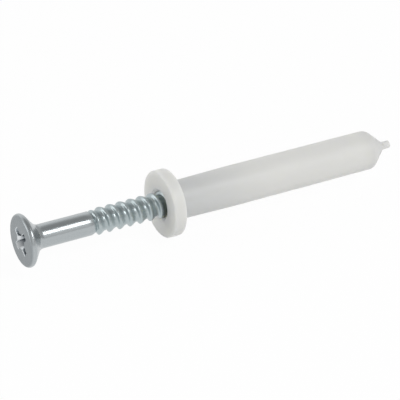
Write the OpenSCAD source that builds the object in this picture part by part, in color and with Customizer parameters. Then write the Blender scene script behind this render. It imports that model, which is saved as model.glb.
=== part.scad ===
// Hammer fixing: a nylon sleeve with a collar and a closed nose, and a drive screw
// that stands part-way out of it, ready to be hammered home.
// The axis lies along X, from the screw's head to the sleeve's nose. The origin is on
// the axis, in the plane of the collar's back, which bears on the fixed work. +Z is up.

/* [Sleeve] */
// Diameter of the straight body, which is the size of the drilled hole
sleeve_d = 6; // [5.5:0.1:8]
// Length from the front of the collar to the end of the nipple
sleeve_l = 40.1; // [36:0.1:50]
// How much smaller the neck is across, where it leaves the collar
neck_relief = 0.3; // [0:0.05:0.5]
// Length over which the neck swells to the body's diameter
neck_l = 9.4; // [4:0.2:14]
// Diameter of the collar
collar_d = 10; // [9:0.1:14]
// Thickness of the collar
collar_t = 1.9; // [1.4:0.1:3]
// Radius on both rims of the collar
collar_edge_r = 0.3; // [0.1:0.05:0.6]
// Radius of the hollow between the collar's back and the neck
neck_fillet_r = 0.2; // [0.15:0.05:0.4]
// Diameter of the conical mouth for the screw's head, at the front of the collar
mouth_d = 4.8; // [4.4:0.1:6.5]

/* [Nose] */
// Radius of the shoulder between the body and the nose
shoulder_r = 1.2; // [0.6:0.1:1.8]
// Slope of the nose's cone against the axis, in degrees
nose_slope = 41; // [34:1:50]
// Diameter of the nipple at the end of the nose
nipple_d = 1.2; // [0.8:0.1:1.8]
// Length of the nipple's straight part
nipple_l = 1.05; // [0.5:0.05:2]
// Radius of the hollow between the nose's cone and the nipple
nipple_fillet_r = 0.75; // [0.3:0.05:1]
// Radius on the nipple's end
nipple_edge_r = 0.15; // [0.05:0.05:0.3]
// Solid length between the end of the bore and the end of the nipple
nose_solid = 2.8; // [2.4:0.1:5]

/* [Screw head] */
// Diameter of the head
head_d = 7.8; // [7:0.1:9]
// Slope of the head's cone against the axis, in degrees
head_slope = 53; // [45:1:58]
// Radius on the head's rim
head_edge_r = 0.5; // [0.1:0.05:0.6]
// Radius of the hollow between the head's cone and the shank
head_fillet_r = 1.4; // [0.6:0.1:2]
// Diameter of the cross recess at the face
recess_d = 4.2; // [3:0.1:4.8]
// Diameter of the cross recess at its floor
recess_floor_d = 1.9; // [1.4:0.1:2.4]
// Depth of the cross recess
recess_depth = 1.9; // [1.2:0.1:2.2]
// Width of the wings of the cross
wing_w = 1; // [0.6:0.05:1.1]
// Diameter of the round core of the recess at the face
core_d = 2.3; // [1.4:0.1:2.6]
// Turn of the cross about the axis, in degrees
recess_turn = 46; // [0:1:89]

/* [Screw shank and thread] */
// Diameter of the smooth shank
shank_d = 3.5; // [3:0.1:3.8]
// Distance from the head's face to the start of the thread
shank_l = 10.6; // [6:0.05:14]
// Diameter over the crests of the thread
thread_d = 3.9; // [3.5:0.1:4.2]
// Diameter at the root of the thread
root_d = 3; // [2.4:0.1:3.2]
// Distance between crests
pitch = 1.65; // [1.4:0.05:2.2]
// Share of the pitch taken by the gentle flank, which faces the point
gentle_share = 0.79; // [0.5:0.01:0.85]
// How narrow the crests are: 1 is a plain wave, more is narrower
crest_power = 1.35; // [1:0.05:2]
// Turn of the thread about the axis, in degrees
thread_turn = 89; // [0:1:359]
// Length of the tapered shoulder between the shank and the thread's root
run_in = 0.6; // [0.3:0.05:1]
// Length of the point
point_l = 3; // [2:0.1:5]
// Diameter of the flat at the very end of the point
tip_d = 0.7; // [0.4:0.1:1]

/* [Fit] */
// How far the head's face stands in front of the collar
exposed_l = 22; // [6:0.05:24]
// Gap between the screw's thread and the bore, on the radius
slide_gap = 0.05; // [0.02:0.01:0.1]
// Gap left between the head and its seat when the screw is home
seat_gap = 0.1; // [0.05:0.05:0.3]
// Gap left in front of the point when the screw is home
tip_gap = 0.5; // [0.2:0.1:1]

/* [Hidden] */
$fn = 96;

// Points around the thread, and rings to each turn: equal numbers put every crest on a point
thread_sides = 16;
// Share of a turn over which the thread rises out of the shank
rise_share = 0.5;
// Depth to which the thread's core is let into the shank
core_lap = 0.4;
// How far inside the thread's core the foot of the tapered shoulder lies
foot_sink = 0.05;
// How fast the ridge dies away towards the end of the point
ridge_keep = 1.5;
// Length by which a cutting shape stands out of the face that it cuts
over = 1;

sleeve_r = sleeve_d / 2;
neck_r = sleeve_r - neck_relief / 2;
collar_r = collar_d / 2;
nipple_r = nipple_d / 2;
mouth_r = mouth_d / 2;
head_r = head_d / 2;
shank_r = shank_d / 2;
thread_r = thread_d / 2;
root_r = root_d / 2;
tip_r = tip_d / 2;
bore_r = max(thread_r, shank_r) + slide_gap;

// A cone of a given slope, hollowed by an arc into a cylinder: how far out the arc
// leaves the cone, and how far along the axis it runs
function hollow_rise(arc_r, slope) = arc_r * (1 - cos(slope));
function hollow_run(arc_r, slope) = arc_r * sin(slope);

// Head, measured back from its face
rim_r = head_r - head_edge_r + head_edge_r * cos(head_slope);
rim_h = head_edge_r * (1 + sin(head_slope));
head_foot_r = shank_r + hollow_rise(head_fillet_r, head_slope);
head_cone_h = (rim_r - head_foot_r) / tan(head_slope);
head_proud = rim_h + (rim_r - mouth_r) / tan(head_slope);

// The mouth has the head's slope. Where the hollow under the head is wider than the bore,
// its arc meets the foot of the mouth before the two cones meet, by this distance
mouth_h = (mouth_r - bore_r) / tan(head_slope);
arc_edge_r = min(bore_r, head_foot_r);
arc_lead = hollow_run(head_fillet_r, head_slope)
  - (head_foot_r - arc_edge_r) / tan(head_slope)
  - head_fillet_r * sin(acos(1 - (arc_edge_r - shank_r) / head_fillet_r));

// Nose, measured back from the end of the nipple
shoulder_end_r = sleeve_r - shoulder_r + shoulder_r * cos(nose_slope);
nose_foot_r = nipple_r + hollow_rise(nipple_fillet_r, nose_slope);
nose_cone_h = (shoulder_end_r - nose_foot_r) / tan(nose_slope);

// Places along the axis
sleeve_end = sleeve_l - collar_t;
nipple_start = sleeve_end - nipple_l;
nose_foot = nipple_start - hollow_run(nipple_fillet_r, nose_slope);
shoulder_end = nose_foot - nose_cone_h;
shoulder_start = shoulder_end - shoulder_r * sin(nose_slope);
bore_end = sleeve_end - nose_solid;
travel = exposed_l - head_proud - arc_lead - seat_gap;
head_face = -collar_t - exposed_l;
thread_start = head_face + shank_l;
tip = bore_end - tip_gap - travel;
threaded_l = tip - thread_start;

// Stands a shape that was drawn about Z on the X axis
module along_x() {
  rotate([0, 90, 0]) children();
}

// Half outline of a cone that an arc hollows into a cylinder. It starts at the cone's
// wide end and runs up to where the arc meets the cylinder
module hollowed_cone(wide_r, cone_h, foot_r, arc_r, slope) {
  end_h = cone_h + hollow_run(arc_r, slope);
  arc_centre = [foot_r - hollow_rise(arc_r, slope) + arc_r, end_h];
  difference() {
    polygon([[0, 0], [wide_r, 0], [foot_r, cone_h], arc_centre, [0, end_h]]);
    translate(arc_centre) circle(arc_r);
  }
}

// Half outline of the collar, from its front to its back
module collar_outline() {
  flat_r = collar_r - collar_edge_r;
  square([flat_r, collar_t]);
  translate([0, collar_edge_r]) square([collar_r, collar_t - 2 * collar_edge_r]);
  for (y = [collar_edge_r, collar_t - collar_edge_r])
    translate([flat_r, y]) circle(collar_edge_r);
}

// Half outline of the neck, the straight body and the nose with its nipple
module body_outline() {
  shoulder_in = sleeve_r - shoulder_r;
  nipple_flat = nipple_r - nipple_edge_r;
  polygon([
    [0, -collar_edge_r], [neck_r, -collar_edge_r], [neck_r, neck_fillet_r], [sleeve_r, neck_l],
    [sleeve_r, shoulder_start], [shoulder_in, shoulder_start],
    [shoulder_end_r, shoulder_end], [nipple_r, shoulder_end],
    [nipple_r, sleeve_end - nipple_edge_r], [0, sleeve_end - nipple_edge_r]
  ]);
  difference() {
    translate([0, -collar_edge_r])
      square([neck_r + neck_fillet_r, collar_edge_r + neck_fillet_r]);
    translate([neck_r + neck_fillet_r, neck_fillet_r]) circle(neck_fillet_r);
  }
  translate([shoulder_in, shoulder_start]) circle(shoulder_r);
  translate([0, shoulder_end])
    hollowed_cone(shoulder_end_r, nose_cone_h, nose_foot_r, nipple_fillet_r, nose_slope);
  translate([0, nipple_start]) square([nipple_flat, nipple_l]);
  translate([nipple_flat, sleeve_end - nipple_edge_r]) circle(nipple_edge_r);
}

// Half outline of the blind bore: the conical mouth, the straight guide and the end
// that keeps clear of the screw's point
module bore_outline() {
  start = -collar_t - over;
  start_r = mouth_r + over * tan(head_slope);
  polygon([
    [0, start], [start_r, start], [bore_r, mouth_h - collar_t], [bore_r, bore_end - point_l],
    [tip_r + slide_gap, bore_end], [0, bore_end]
  ]);
}

module sleeve() {
  color("gainsboro") along_x() rotate_extrude() difference() {
    union() {
      translate([0, -collar_t]) collar_outline();
      body_outline();
    }
    bore_outline();
  }
}

// Half outline of the head, the shank and the tapered shoulder where the thread begins
module shank_outline() {
  rim_in = head_r - head_edge_r;
  shoulder_foot_r = root_r - foot_sink;
  polygon([[0, 0], [rim_in, 0], [rim_in, head_edge_r], [rim_r, rim_h], [0, rim_h]]);
  translate([rim_in, head_edge_r]) circle(head_edge_r);
  translate([0, rim_h])
    hollowed_cone(rim_r, head_cone_h, head_foot_r, head_fillet_r, head_slope);
  polygon([
    [0, 0], [shank_r, 0], [shank_r, shank_l],
    [shoulder_foot_r, shank_l + run_in], [0, shank_l + run_in]
  ]);
}

// Tapered cut of a given diameter at the face and at its floor, begun outside the face
module tapered_cut(face_d, floor_d) {
  growth = over * (face_d - floor_d) / recess_depth;
  translate([0, 0, -over])
    cylinder(h = over + recess_depth, d1 = face_d + growth, d2 = floor_d);
}

// Cross recess for a driver bit, cut in from the head's face
module cross_recess() {
  intersection() {
    tapered_cut(recess_d, recess_floor_d);
    for (turn = [0, 90])
      rotate(turn) translate([-head_r, -wing_w / 2, -over])
        cube([head_d, wing_w, over + recess_depth]);
  }
  tapered_cut(core_d, wing_w);
}

// Height of the thread's ridge, from 0 at the root to 1 at the crest, at a share of the
// pitch measured from the crest towards the point
function ridge(share) =
  let (flank = share < gentle_share ? share / gentle_share : (1 - share) / (1 - gentle_share))
  pow((1 + cos(180 * flank)) / 2, crest_power);

function clamp(x) = min(max(x, 0), 1);
function ease(x) = x * x * (3 - 2 * x);

// Radius of the threaded part at a distance from its start and a share of a turn
function thread_radius(z, turn) =
  let (
    taper = clamp((threaded_l - z) / point_l),
    rise = ease(clamp(z / (rise_share * pitch))),
    share = z / pitch - turn - floor(z / pitch - turn)
  )
  tip_r + (root_r - tip_r) * taper
    + (thread_r - root_r) * ridge(share) * rise * clamp(ridge_keep * taper);

// Threaded part and point as one closed skin. Ring spacing is the pitch over the number of
// sides, so that the crest climbs by one ring for each side and runs along the diagonals
module thread() {
  n = thread_sides;
  step = pitch / n;
  heights = [
    -core_lap,
    for (j = [0 : round(threaded_l / step) - 1]) j * step,
    threaded_l
  ];
  last = len(heights) - 1;
  points = [
    for (z = heights, i = [0 : n - 1])
      let (r = thread_radius(z, i / n), a = thread_turn + 360 * i / n)
      [r * cos(a), r * sin(a), z]
  ];
  sides = [
    for (j = [0 : last - 1], i = [0 : n - 1])
      let (k = (i + 1) % n, low = j * n, high = low + n)
      each [[low + i, high + i, high + k], [low + i, high + k, low + k]]
  ];
  start_cap = [for (i = [0 : n - 1]) i];
  tip_cap = [for (i = [n - 1 : -1 : 0]) last * n + i];
  polyhedron(points, concat(sides, [start_cap, tip_cap]), convexity = 4);
}

module drive_screw() {
  color("lightsteelblue") along_x() {
    translate([0, 0, head_face]) difference() {
      rotate_extrude() shank_outline();
      rotate(recess_turn) cross_recess();
    }
    translate([0, 0, thread_start]) thread();
  }
}

sleeve();
drive_screw();
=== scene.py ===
"""Looks of a hammer fixing: a milky nylon sleeve and a zinc-plated drive screw.

Both pieces are remade as fine meshes on the same sizes as the frame's solids, because the
solids' thread is coarse. The axis lies along X, from the screw's head to the sleeve's nose.
"""

import math

import bmesh
import bpy
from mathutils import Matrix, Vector


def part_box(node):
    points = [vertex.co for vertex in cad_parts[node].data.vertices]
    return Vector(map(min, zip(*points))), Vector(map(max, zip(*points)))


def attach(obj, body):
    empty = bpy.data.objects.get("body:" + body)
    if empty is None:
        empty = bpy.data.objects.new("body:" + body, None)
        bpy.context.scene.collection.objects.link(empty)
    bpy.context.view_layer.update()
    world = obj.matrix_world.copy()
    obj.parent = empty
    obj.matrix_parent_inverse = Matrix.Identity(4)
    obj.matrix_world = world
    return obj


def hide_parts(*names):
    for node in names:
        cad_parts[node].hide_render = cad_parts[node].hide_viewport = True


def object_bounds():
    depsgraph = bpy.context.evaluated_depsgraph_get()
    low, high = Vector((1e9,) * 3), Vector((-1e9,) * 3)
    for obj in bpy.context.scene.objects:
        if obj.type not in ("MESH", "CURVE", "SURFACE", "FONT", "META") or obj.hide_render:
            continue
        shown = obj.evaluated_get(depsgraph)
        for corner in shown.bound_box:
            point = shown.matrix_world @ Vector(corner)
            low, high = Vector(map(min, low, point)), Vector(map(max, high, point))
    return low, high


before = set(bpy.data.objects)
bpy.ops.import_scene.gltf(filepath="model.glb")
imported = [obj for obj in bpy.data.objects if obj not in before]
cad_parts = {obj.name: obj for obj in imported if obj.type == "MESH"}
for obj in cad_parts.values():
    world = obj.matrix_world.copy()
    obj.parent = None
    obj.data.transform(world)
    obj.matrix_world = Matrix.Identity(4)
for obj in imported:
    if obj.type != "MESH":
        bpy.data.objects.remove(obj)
cad_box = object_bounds()

MM = 0.001

# Places that come from the frame, in millimetres
SLEEVE_LOW, SLEEVE_HIGH = (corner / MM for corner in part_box("sleeve"))
SCREW_LOW, SCREW_HIGH = (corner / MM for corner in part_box("drive_screw"))
COLLAR_FRONT = SLEEVE_LOW.x
COLLAR_R = SLEEVE_HIGH.y
SLEEVE_END = SLEEVE_HIGH.x
HEAD_FACE = SCREW_LOW.x
HEAD_R = SCREW_HIGH.y
TIP = SCREW_HIGH.x

# Sleeve, in millimetres and degrees
BODY_R = 3.0
NECK_R = 2.85
NECK_L = 9.4
COLLAR_EDGE_R = 0.3
NECK_FILLET_R = 0.2
SHOULDER_R = 1.2
NOSE_SLOPE = 41
NIPPLE_R = 0.6
NIPPLE_L = 1.05
NIPPLE_FILLET_R = 0.75
NIPPLE_EDGE_R = 0.15
BORE_R = 2.0
END_WALL = 2.8
BORE_END = SLEEVE_END - END_WALL
BORE_END_R = 0.4
MOUTH_R = 2.4

# Screw, in millimetres and degrees
HEAD_SLOPE = 53
HEAD_EDGE_R = 0.5
HEAD_FILLET_R = 1.4
RECESS_R = 2.1
RECESS_FLOOR_R = 0.95
RECESS_DEPTH = 1.9
RECESS_TURN = 46
WING_W = 1.0
WING_FLOOR_W = 0.8
CORE_R = 1.15
CORE_FLOOR_R = 0.5
RECESS_LIP = 0.07
RECESS_CUT_OVER = 1.0
SHANK_R = 1.75
SHANK_L = 10.6
THREAD_R = 1.95
ROOT_R = 1.5
PITCH = 1.65
GENTLE_SHARE = 0.79
CREST_POWER = 1.35
THREAD_TURN = 89
RUN_IN = 0.6
RISE_SHARE = 0.5
POINT_L = 3.0
TIP_R = 0.35
RIDGE_KEEP = 1.5

# Fineness of the meshes: points round the axis, rings, and steps on arcs and straight stretches
SLEEVE_SIDES = 160
SCREW_SIDES = 96
RINGS_PER_TURN = 24
ARC_STEPS = 10
CORE_STEPS = 6
BORE_STEPS = 12
FACE_STEPS = 4
NECK_STEPS = 8
BODY_STEPS = 16
SHANK_STEPS = 8
# Angle in degrees between faces, above which the edge between them stays sharp
SLEEVE_SHARP = 30
SCREW_SHARP = 35

# Camera, fitted to the outline in the photograph, in degrees and millimetres
CAMERA_AZIMUTH = -29.484
CAMERA_ELEVATION = 28.149
CAMERA_DISTANCE = 263.21
CAMERA_TARGET = Vector((4.819, 0, -1.005))
LENS = 161.65
SENSOR = 36.0
CLIP_START = 10.0


def direction(azimuth, elevation):
    """Unit vector from the object towards an azimuth and elevation in degrees; azimuth 0 is -Y."""
    a, e = math.radians(azimuth), math.radians(elevation)
    return Vector((math.sin(a) * math.cos(e), -math.cos(a) * math.cos(e), math.sin(e)))


def arc(centre, radius, start, end, steps=ARC_STEPS):
    """Points (x, r) on an arc; angles in degrees run from +X towards +r."""
    angles = [math.radians(start + (end - start) * k / steps) for k in range(steps + 1)]
    return [(centre[0] + radius * math.cos(a), centre[1] + radius * math.sin(a)) for a in angles]


def straight(start, end, steps):
    """Points between two ends of a straight stretch, without the ends themselves."""
    shares = [k / steps for k in range(1, steps)]
    return [tuple(a + (b - a) * s for a, b in zip(start, end)) for s in shares]


def ring_points(x, radii):
    """One ring about the X axis; angle 0 is +Y and it turns towards +Z."""
    n = len(radii)
    points = []
    for k, r in enumerate(radii):
        a = 2 * math.pi * k / n
        points.append(Vector((x, r * math.cos(a), r * math.sin(a))) * MM)
    return points


def skin(name, rings, start_x, end_x):
    """Closed skin through rings of equal length, with a pole on the axis at both ends."""
    mesh = bmesh.new()
    loops = [[mesh.verts.new(p) for p in ring] for ring in rings]
    n = len(loops[0])
    for low, high in zip(loops, loops[1:]):
        for k in range(n):
            mesh.faces.new((low[k], high[k], high[(k + 1) % n], low[(k + 1) % n]))
    for x, loop in ((start_x, loops[0]), (end_x, loops[-1])):
        pole = mesh.verts.new((x * MM, 0, 0))
        for k in range(n):
            mesh.faces.new((pole, loop[k], loop[(k + 1) % n]))
    bmesh.ops.recalc_face_normals(mesh, faces=mesh.faces)
    data = bpy.data.meshes.new(name)
    mesh.to_mesh(data)
    mesh.free()
    piece = bpy.data.objects.new(name, data)
    bpy.context.scene.collection.objects.link(piece)
    return piece


def smooth(piece, sharp_angle):
    """Smooth shading, with edges kept where faces meet at more than an angle in degrees."""
    for polygon in piece.data.polygons:
        polygon.use_smooth = True
    piece.data.set_sharp_from_angle(angle=math.radians(sharp_angle))


# Sleeve


def sleeve_outline():
    """Half outline from the end of the bore, out over the collar and along to the nipple."""
    slope = math.radians(NOSE_SLOPE)
    guide_x = COLLAR_FRONT + (MOUTH_R - BORE_R) / math.tan(math.radians(HEAD_SLOPE))
    nipple_start = SLEEVE_END - NIPPLE_L
    foot_x = nipple_start - NIPPLE_FILLET_R * math.sin(slope)
    foot_r = NIPPLE_R + NIPPLE_FILLET_R * (1 - math.cos(slope))
    end_r = BODY_R - SHOULDER_R * (1 - math.cos(slope))
    shoulder_end = foot_x - (end_r - foot_r) / math.tan(slope)
    shoulder_start = shoulder_end - SHOULDER_R * math.sin(slope)
    flat_r = COLLAR_R - COLLAR_EDGE_R
    nipple_flat = NIPPLE_R - NIPPLE_EDGE_R
    outline = [(BORE_END, BORE_END_R), (BORE_END - POINT_L, BORE_R)]
    outline += straight(outline[-1], (guide_x, BORE_R), BORE_STEPS)
    outline += [(guide_x, BORE_R), (COLLAR_FRONT, MOUTH_R)]
    outline += straight(outline[-1], (COLLAR_FRONT, flat_r), FACE_STEPS)
    outline += arc((COLLAR_FRONT + COLLAR_EDGE_R, flat_r), COLLAR_EDGE_R, 180, 90)
    outline += arc((-COLLAR_EDGE_R, flat_r), COLLAR_EDGE_R, 90, 0)
    outline += arc((NECK_FILLET_R, NECK_R + NECK_FILLET_R), NECK_FILLET_R, 180, 270)
    outline += straight(outline[-1], (NECK_L, BODY_R), NECK_STEPS)
    outline += [(NECK_L, BODY_R)]
    outline += straight(outline[-1], (shoulder_start, BODY_R), BODY_STEPS)
    outline += arc((shoulder_start, BODY_R - SHOULDER_R), SHOULDER_R, 90, 90 - NOSE_SLOPE)
    fillet_centre = (nipple_start, NIPPLE_R + NIPPLE_FILLET_R)
    outline += arc(fillet_centre, NIPPLE_FILLET_R, 270 - NOSE_SLOPE, 270)
    outline += arc((SLEEVE_END - NIPPLE_EDGE_R, nipple_flat), NIPPLE_EDGE_R, 90, 0)
    return outline


def make_sleeve():
    """The nylon moulding as one lathe skin."""
    rings = [ring_points(x, [r] * SLEEVE_SIDES) for x, r in sleeve_outline()]
    piece = skin("nylon_sleeve", rings, BORE_END, SLEEVE_END)
    smooth(piece, SLEEVE_SHARP)
    return piece


# Screw


def clamp(value):
    """The value, kept between 0 and 1."""
    return min(max(value, 0.0), 1.0)


def ease(value):
    """A smooth step from 0 to 1."""
    return value * value * (3 - 2 * value)


def ridge(share):
    """Height of the thread's ridge, 0 at the root and 1 at the crest, at a share of the pitch."""
    flank = share / GENTLE_SHARE if share < GENTLE_SHARE else (1 - share) / (1 - GENTLE_SHARE)
    return ((1 + math.cos(math.pi * flank)) / 2) ** CREST_POWER


def thread_radius(z, turn, length):
    """Radius at a distance from the thread's start and a share of a turn."""
    taper = clamp((length - z) / POINT_L)
    rise = ease(clamp(z / (RISE_SHARE * PITCH)))
    height = (THREAD_R - ROOT_R) * ridge((z / PITCH - turn) % 1.0)
    thread = TIP_R + (ROOT_R - TIP_R) * taper + height * rise * clamp(RIDGE_KEEP * taper)
    shoulder = SHANK_R - (SHANK_R - ROOT_R) * z / RUN_IN
    return max(thread, shoulder)


def head_outline():
    """Half outline of the head and shank, from the edge of the face to the thread's start."""
    slope = math.radians(HEAD_SLOPE)
    flat_r = HEAD_R - HEAD_EDGE_R
    rim_r = flat_r + HEAD_EDGE_R * math.cos(slope)
    rim_x = HEAD_FACE + HEAD_EDGE_R * (1 + math.sin(slope))
    foot_r = SHANK_R + HEAD_FILLET_R * (1 - math.cos(slope))
    foot_x = rim_x + (rim_r - foot_r) / math.tan(slope)
    shank_x = foot_x + HEAD_FILLET_R * math.sin(slope)
    edge_centre = (HEAD_FACE + HEAD_EDGE_R, flat_r)
    outline = arc(edge_centre, HEAD_EDGE_R, 180, 90 - HEAD_SLOPE, 2 * ARC_STEPS)
    outline += arc((shank_x, SHANK_R + HEAD_FILLET_R), HEAD_FILLET_R, 270 - HEAD_SLOPE, 270)
    outline += straight(outline[-1], (HEAD_FACE + SHANK_L, SHANK_R), SHANK_STEPS)
    return outline


def make_screw_skin():
    """Head, shank, thread and point as one skin, with no recess yet."""
    n = SCREW_SIDES
    rings = [ring_points(x, [r] * n) for x, r in head_outline()]
    start = HEAD_FACE + SHANK_L
    length = TIP - start
    step = PITCH / RINGS_PER_TURN
    heights = [j * step for j in range(round(length / step))] + [length]
    # The thread's turn is measured from -Z towards +Y, and a ring starts at +Y
    first = (90 - THREAD_TURN) / 360
    for z in heights:
        radii = [thread_radius(z, first + k / n, length) for k in range(n)]
        rings.append(ring_points(start + z, radii))
    return skin("zinc_screw", rings, HEAD_FACE, TIP)


def cross_ring(x, reach, width, core):
    """Outline of the cross recess at one depth, as points about the X axis."""
    half = width / 2
    core_angle = math.asin(min(half / core, 1.0))
    points = []
    for wing in range(4):
        turn = math.radians(RECESS_TURN - 90 + 90 * wing)
        along = Vector((0, math.cos(turn), math.sin(turn)))
        across = Vector((0, -math.sin(turn), math.cos(turn)))
        tip_along = math.sqrt(reach * reach - half * half)
        for side in (-half, half):
            points.append(along * tip_along + across * side)
        for k in range(CORE_STEPS + 1):
            a = core_angle + (math.pi / 2 - 2 * core_angle) * k / CORE_STEPS
            points.append((along * math.cos(a) + across * math.sin(a)) * core)
    return [(Vector((x, 0, 0)) + p) * MM for p in points]


def cut_recess(screw):
    """Cuts the cross recess into the head's face, with a small lip round its edge."""
    start = HEAD_FACE - RECESS_CUT_OVER
    lip = RECESS_LIP
    levels = (
        (start, RECESS_R + lip, WING_W + 2 * lip, CORE_R + lip),
        (HEAD_FACE, RECESS_R + lip, WING_W + 2 * lip, CORE_R + lip),
        (HEAD_FACE + lip, RECESS_R, WING_W, CORE_R),
        (HEAD_FACE + RECESS_DEPTH, RECESS_FLOOR_R, WING_FLOOR_W, CORE_FLOOR_R),
    )
    rings = [cross_ring(*level) for level in levels]
    cutter = skin("recess_cutter", rings, start, HEAD_FACE + RECESS_DEPTH)
    cut = screw.modifiers.new("recess", "BOOLEAN")
    cut.operation = "DIFFERENCE"
    cut.solver = "EXACT"
    cut.object = cutter
    bpy.context.view_layer.objects.active = screw
    bpy.ops.object.modifier_apply(modifier=cut.name)
    bpy.data.objects.remove(cutter)


def make_screw():
    """The plated drive screw as one piece."""
    piece = make_screw_skin()
    cut_recess(piece)
    smooth(piece, SCREW_SHARP)
    return piece


# Materials

# Nylon: pairs of colours that faint clouds vary between, places along the axis where one tone
# gives way to the next, and the scatter of light, in millimetres. The neck is painted greyer
# than the body: painted shade where the steel screw lies inside it
NYLON_COLLAR = ((0.695, 0.695, 0.68), (0.715, 0.715, 0.7))
NYLON_STEEL_SHADE = ((0.615, 0.625, 0.62), (0.635, 0.645, 0.64))
NYLON_CLEAR = ((0.74, 0.74, 0.71), (0.76, 0.76, 0.73))
NYLON_NOSE = (0.635, 0.635, 0.63)
COLLAR_TO_NECK = (0, 0.6)
NECK_TO_BODY = (1, 18)
BODY_TO_NOSE = (SLEEVE_END - 7, SLEEVE_END - 3)
NYLON_CLOUDS = {"scale": 180, "detail": 3, "stretch": (0.5, 1, 1)}
NYLON_GRAIN = {"scale": 2600, "detail": 4}
NYLON_GRAIN_HEIGHT = 0.004
NYLON_ROUGHNESS = (0.36, 0.46)
NYLON_IOR = 1.53
SCATTER_RADIUS = (1.0, 1.0, 0.9)
SCATTER_DEPTH = 2.0

# Zinc: colours and places in the same way. The face is darker, partly a duller finish and
# partly painted shade for the shaded floor it mirrors. The recess has a painted highlight at its
# lip and painted shade at its floor
ZINC_SHANK = ((0.44, 0.475, 0.49), (0.475, 0.505, 0.515))
ZINC_THREAD = ((0.445, 0.515, 0.53), (0.49, 0.545, 0.555))
FACE_DULL_AND_SHADED = ((0.28, 0.305, 0.32), (0.32, 0.345, 0.355))
RECESS_PAINTED_GLINT = (0.74, 0.77, 0.79)
RECESS_PAINTED_SHADE = (0.13, 0.15, 0.17)
SHANK_TO_THREAD = (HEAD_FACE + SHANK_L - 0.3, HEAD_FACE + SHANK_L + 0.6)
RIM_TO_FACE = (HEAD_FACE + 0.3, HEAD_FACE)
FACE_TO_RECESS = (HEAD_FACE + 0.01, HEAD_FACE + 0.02)
LIP_TO_FLOOR = (HEAD_FACE + 0.1, HEAD_FACE + 1.3)
BEHIND_FLOOR = (HEAD_FACE + RECESS_DEPTH + 0.1, HEAD_FACE + RECESS_DEPTH + 0.05)
RECESS_REACH = RECESS_R + 0.05
ZINC_CLOUDS = {"scale": 700, "detail": 4}
ZINC_LINES = {"scale": 2200, "detail": 5, "stretch": (0.12, 1, 1)}
ZINC_LINE_HEIGHT = 0.002
ZINC_ROUGHNESS = (0.2, 0.28)
THREAD_ROUGHER = 0.1
FACE_ROUGHER = 0.2

# The stretch of a noise's values that is spread over a range of roughness
NOISE_RANGE = (0.3, 0.7)


def new_material(name):
    """A material with a Principled shader, together with its node tree and that shader."""
    material = bpy.data.materials.new(name)
    material.use_nodes = True
    tree = material.node_tree
    return material, tree, tree.nodes["Principled BSDF"]


def math_node(tree, operation, *values):
    """Result of an operation on sockets or numbers."""
    node = tree.nodes.new("ShaderNodeMath")
    node.operation = operation
    for socket, value in zip(node.inputs, values):
        if isinstance(value, (int, float)):
            socket.default_value = value
        else:
            tree.links.new(value, socket)
    return node.outputs["Value"]


def map_range(tree, value, source, target=(0.0, 1.0), kind="LINEAR"):
    """Maps a value from one range to another, and keeps it inside."""
    node = tree.nodes.new("ShaderNodeMapRange")
    node.interpolation_type = kind
    names = ("From Min", "From Max", "To Min", "To Max")
    for name, limit in zip(names, (*source, *target)):
        node.inputs[name].default_value = limit
    tree.links.new(value, node.inputs["Value"])
    return node.outputs["Result"]


def along_axis(tree, coordinates, start, end):
    """A smooth step along the part's axis, from 0 at one place to 1 at another, in millimetres."""
    split = tree.nodes.new("ShaderNodeSeparateXYZ")
    tree.links.new(coordinates.outputs["Object"], split.inputs["Vector"])
    return map_range(tree, split.outputs["X"], (start * MM, end * MM), kind="SMOOTHSTEP")


def within(tree, coordinates, radius):
    """1 inside a radius from the part's axis, in millimetres, and 0 outside it."""
    across = tree.nodes.new("ShaderNodeVectorMath")
    across.operation = "MULTIPLY"
    across.inputs[1].default_value = (0, 1, 1)
    tree.links.new(coordinates.outputs["Object"], across.inputs[0])
    length = tree.nodes.new("ShaderNodeVectorMath")
    length.operation = "LENGTH"
    tree.links.new(across.outputs["Vector"], length.inputs[0])
    return math_node(tree, "LESS_THAN", length.outputs["Value"], radius * MM)


def noise(tree, coordinates, scale, detail, stretch=(1, 1, 1)):
    """Procedural noise on object coordinates, at a scale in cycles per metre."""
    mapping = tree.nodes.new("ShaderNodeMapping")
    mapping.inputs["Scale"].default_value = stretch
    tree.links.new(coordinates.outputs["Object"], mapping.inputs["Vector"])
    texture = tree.nodes.new("ShaderNodeTexNoise")
    texture.inputs["Scale"].default_value = scale
    texture.inputs["Detail"].default_value = detail
    tree.links.new(mapping.outputs["Vector"], texture.inputs["Vector"])
    return texture.outputs["Fac"]


def tint(tree, share, first, second):
    """Mixes two colours, or sockets that give one, by a share."""
    node = tree.nodes.new("ShaderNodeMix")
    node.data_type = "RGBA"
    for name, colour in (("A", first), ("B", second)):
        if isinstance(colour, tuple):
            node.inputs[name].default_value = (*colour, 1)
        else:
            tree.links.new(colour, node.inputs[name])
    tree.links.new(share, node.inputs["Factor"])
    return node.outputs["Result"]


def bump(tree, height_map, height, shader):
    """Fine relief of a height in millimetres."""
    node = tree.nodes.new("ShaderNodeBump")
    node.inputs["Strength"].default_value = 1.0
    node.inputs["Distance"].default_value = height * MM
    tree.links.new(height_map, node.inputs["Height"])
    tree.links.new(node.outputs["Normal"], shader.inputs["Normal"])


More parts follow.
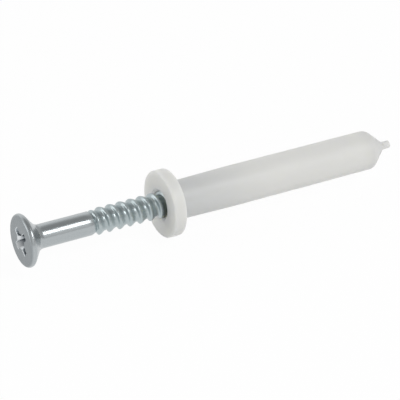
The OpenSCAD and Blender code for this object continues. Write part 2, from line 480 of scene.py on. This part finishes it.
def nylon():
    """Natural nylon: milky, with light going some way into it, a satin skin, and painted shade
    over the screw inside.
    """
    material, tree, shader = new_material("natural_nylon")
    coordinates = tree.nodes.new("ShaderNodeTexCoord")
    clouds = noise(tree, coordinates, **NYLON_CLOUDS)
    collar, steel_shade, clear = (
        tint(tree, clouds, *pair) for pair in (NYLON_COLLAR, NYLON_STEEL_SHADE, NYLON_CLEAR)
    )
    # Painted shade: the nylon is darker where the steel screw lies inside it, fading out along the
    # body
    neck = tint(tree, along_axis(tree, coordinates, *COLLAR_TO_NECK), collar, steel_shade)
    body = tint(tree, along_axis(tree, coordinates, *NECK_TO_BODY), neck, clear)
    colour = tint(tree, along_axis(tree, coordinates, *BODY_TO_NOSE), body, NYLON_NOSE)
    tree.links.new(colour, shader.inputs["Base Color"])
    shader.inputs["Subsurface Weight"].default_value = 1.0
    shader.inputs["Subsurface Radius"].default_value = SCATTER_RADIUS
    shader.inputs["Subsurface Scale"].default_value = SCATTER_DEPTH * MM
    shader.inputs["IOR"].default_value = NYLON_IOR
    grain = noise(tree, coordinates, **NYLON_GRAIN)
    rough = map_range(tree, grain, NOISE_RANGE, NYLON_ROUGHNESS)
    tree.links.new(rough, shader.inputs["Roughness"])
    bump(tree, grain, NYLON_GRAIN_HEIGHT, shader)
    return material


def recess_mask(tree, coordinates):
    """1 on the walls and floor of the cross recess, and 0 on the rest of the screw."""
    mask = within(tree, coordinates, RECESS_REACH)
    for step in (FACE_TO_RECESS, BEHIND_FLOOR):
        mask = math_node(tree, "MULTIPLY", mask, along_axis(tree, coordinates, *step))
    return mask


def zinc():
    """Bright zinc plating: bluish, with faint drawn lines, duller on the thread and the face;
    painted shade on the face, and a painted highlight and painted shade in the recess.
    """
    material, tree, shader = new_material("zinc_plated_steel")
    coordinates = tree.nodes.new("ShaderNodeTexCoord")
    clouds = noise(tree, coordinates, **ZINC_CLOUDS)
    shank, thread, face = (
        tint(tree, clouds, *pair) for pair in (ZINC_SHANK, ZINC_THREAD, FACE_DULL_AND_SHADED)
    )
    on_thread = along_axis(tree, coordinates, *SHANK_TO_THREAD)
    on_face = along_axis(tree, coordinates, *RIM_TO_FACE)
    depth = along_axis(tree, coordinates, *LIP_TO_FLOOR)
    # The face's darker colour is partly a duller finish and partly painted shade
    outside = tint(tree, on_face, tint(tree, on_thread, shank, thread), face)
    # Painted highlight at the recess's lip, painted shade at its floor
    recess_glint_and_shade = tint(tree, depth, RECESS_PAINTED_GLINT, RECESS_PAINTED_SHADE)
    colour = tint(tree, recess_mask(tree, coordinates), outside, recess_glint_and_shade)
    tree.links.new(colour, shader.inputs["Base Color"])
    shader.inputs["Metallic"].default_value = 1.0
    lines = noise(tree, coordinates, **ZINC_LINES)
    rough = map_range(tree, lines, NOISE_RANGE, ZINC_ROUGHNESS)
    for share, rougher in ((on_thread, THREAD_ROUGHER), (on_face, FACE_ROUGHER)):
        rough = math_node(tree, "ADD", rough, math_node(tree, "MULTIPLY", share, rougher))
    tree.links.new(rough, shader.inputs["Roughness"])
    bump(tree, lines, ZINC_LINE_HEIGHT, shader)
    return material


# Pieces on their bodies

sleeve = make_sleeve()
sleeve.data.materials.append(nylon())
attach(sleeve, "sleeve")
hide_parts("sleeve")

screw = make_screw()
screw.data.materials.append(zinc())
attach(screw, "drive_screw")
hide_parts("drive_screw")

# Floor, nearly white to the camera and in mirrors, with the object's shadow kept. Size in metres

FLOOR_SIZE = 6.0
FLOOR_COLOUR = (0.95, 0.95, 0.95, 1)
CAMERA_GLOW = 0.96
MIRROR_GLOW = 0.78


def make_floor():
    """A wide white floor under the lowest point of the collar."""
    low = cad_box[0][2]
    half = FLOOR_SIZE / 2
    corners = [(-half, -half, low), (half, -half, low), (half, half, low), (-half, half, low)]
    data = bpy.data.meshes.new("floor")
    data.from_pydata(corners, [], [(0, 1, 2, 3)])
    floor = bpy.data.objects.new("floor", data)
    bpy.context.scene.collection.objects.link(floor)
    return floor


def white_floor():
    """Nearly white to the camera and in mirrors, and plainly pale for the light it returns."""
    material, tree, shader = new_material("white_floor")
    shader.inputs["Base Color"].default_value = FLOOR_COLOUR
    shader.inputs["Roughness"].default_value = 1.0
    shader.inputs["Specular IOR Level"].default_value = 0.0
    path = tree.nodes.new("ShaderNodeLightPath")
    rays = (
        ("Is Camera Ray", CAMERA_GLOW),
        ("Is Glossy Ray", MIRROR_GLOW),
        ("Is Transmission Ray", MIRROR_GLOW),
    )
    share = None
    for name, level in rays:
        part = math_node(tree, "MULTIPLY", path.outputs[name], level)
        share = math_node(tree, "MAXIMUM", share, part) if share else part
    glow = tree.nodes.new("ShaderNodeEmission")
    mix = tree.nodes.new("ShaderNodeMixShader")
    tree.links.new(share, mix.inputs["Fac"])
    tree.links.new(shader.outputs["BSDF"], mix.inputs[1])
    tree.links.new(glow.outputs["Emission"], mix.inputs[2])
    output = tree.nodes["Material Output"]
    tree.links.new(mix.outputs["Shader"], output.inputs["Surface"])
    return material


make_floor().data.materials.append(white_floor())

# Light: a pale room with a darker ceiling, a key to the right of the camera and a wide soft box
# in front of the screw's head. A fill shines from the key's place and doesn't show in mirrors,
# so highlights stay small. Azimuth and elevation in degrees, distance and size in metres

KEY_BOX = {"azimuth": 31, "elevation": 44, "distance": 0.5, "size": 0.18, "radiance": 5.0}
FILL_BOX = {**KEY_BOX, "radiance": 5.9, "mirrored": False}
END_BOX = {"azimuth": -106, "elevation": 14, "distance": 0.6, "size": 0.44, "radiance": 1.8}
# The room's level at each height, from the horizon at 0 to the zenith at 1
ROOM_LEVELS = ((0.0, 0.984), (0.3, 1.27), (0.5, 1.25), (0.7, 1.01), (0.86, 0.528), (1.0, 0.54))
# Shares of that level on the camera's side, on the far side and past both ends of the part, and
# how far along X the change towards the ends begins and is complete
FRONT_SHARE = 0.66
BACK_SHARE = 0.8
END_SHARE = 0.6
END_RANGE = (0.45, 0.75)


def make_soft_box(name, azimuth, elevation, distance, size, radiance, mirrored=True):
    """A round soft box that faces the object, and shows in mirrors or not."""
    data = bpy.data.lights.new(name, "AREA")
    data.shape = "DISK"
    data.size = size
    # A flat lamp gives off pi times its radiance for each unit of its area
    data.energy = radiance * math.pi * math.pi * (size / 2) ** 2
    lamp = bpy.data.objects.new(name, data)
    lamp.visible_glossy = mirrored
    towards = direction(azimuth, elevation)
    lamp.location = towards * distance
    lamp.rotation_euler = towards.to_track_quat("Z", "Y").to_euler()
    bpy.context.scene.collection.objects.link(lamp)


def make_room():
    """World colour by height, darker on the camera's side and towards both ends of the part."""
    world = bpy.data.worlds.new("room")
    bpy.context.scene.world = world
    world.use_nodes = True
    tree = world.node_tree
    background = tree.nodes["Background"]
    coordinates = tree.nodes.new("ShaderNodeTexCoord")
    split = tree.nodes.new("ShaderNodeSeparateXYZ")
    tree.links.new(coordinates.outputs["Generated"], split.inputs["Vector"])
    ramp = tree.nodes.new("ShaderNodeValToRGB")
    stops = ramp.color_ramp.elements
    for k, (height, level) in enumerate(ROOM_LEVELS):
        stop = stops[k] if k < len(stops) else stops.new(height)
        stop.position = height
        stop.color = (level, level, level, 1)
    tree.links.new(split.outputs["Z"], ramp.inputs["Fac"])
    side = map_range(tree, split.outputs["Y"], (-1.0, 1.0), (FRONT_SHARE, BACK_SHARE))
    along = math_node(tree, "ABSOLUTE", split.outputs["X"])
    ends = map_range(tree, along, END_RANGE, (1.0, END_SHARE), "SMOOTHSTEP")
    strength = math_node(tree, "MULTIPLY", side, ends)
    tree.links.new(ramp.outputs["Color"], background.inputs["Color"])
    tree.links.new(strength, background.inputs["Strength"])


make_soft_box("key_box", **KEY_BOX)
make_soft_box("fill_box", **FILL_BOX)
make_soft_box("end_box", **END_BOX)
make_room()

# Camera


def make_camera():
    """Camera at the photograph's viewing angle."""
    data = bpy.data.cameras.new("camera")
    data.lens = LENS
    data.sensor_width = SENSOR
    data.clip_start = CLIP_START * MM
    camera = bpy.data.objects.new("camera", data)
    back = direction(CAMERA_AZIMUTH, CAMERA_ELEVATION)
    camera.location = (CAMERA_TARGET + back * CAMERA_DISTANCE) * MM
    camera.rotation_euler = back.to_track_quat("Z", "Y").to_euler()
    bpy.context.scene.collection.objects.link(camera)
    bpy.context.scene.camera = camera


make_camera()
bpy.context.scene.view_settings.view_transform = "Standard"
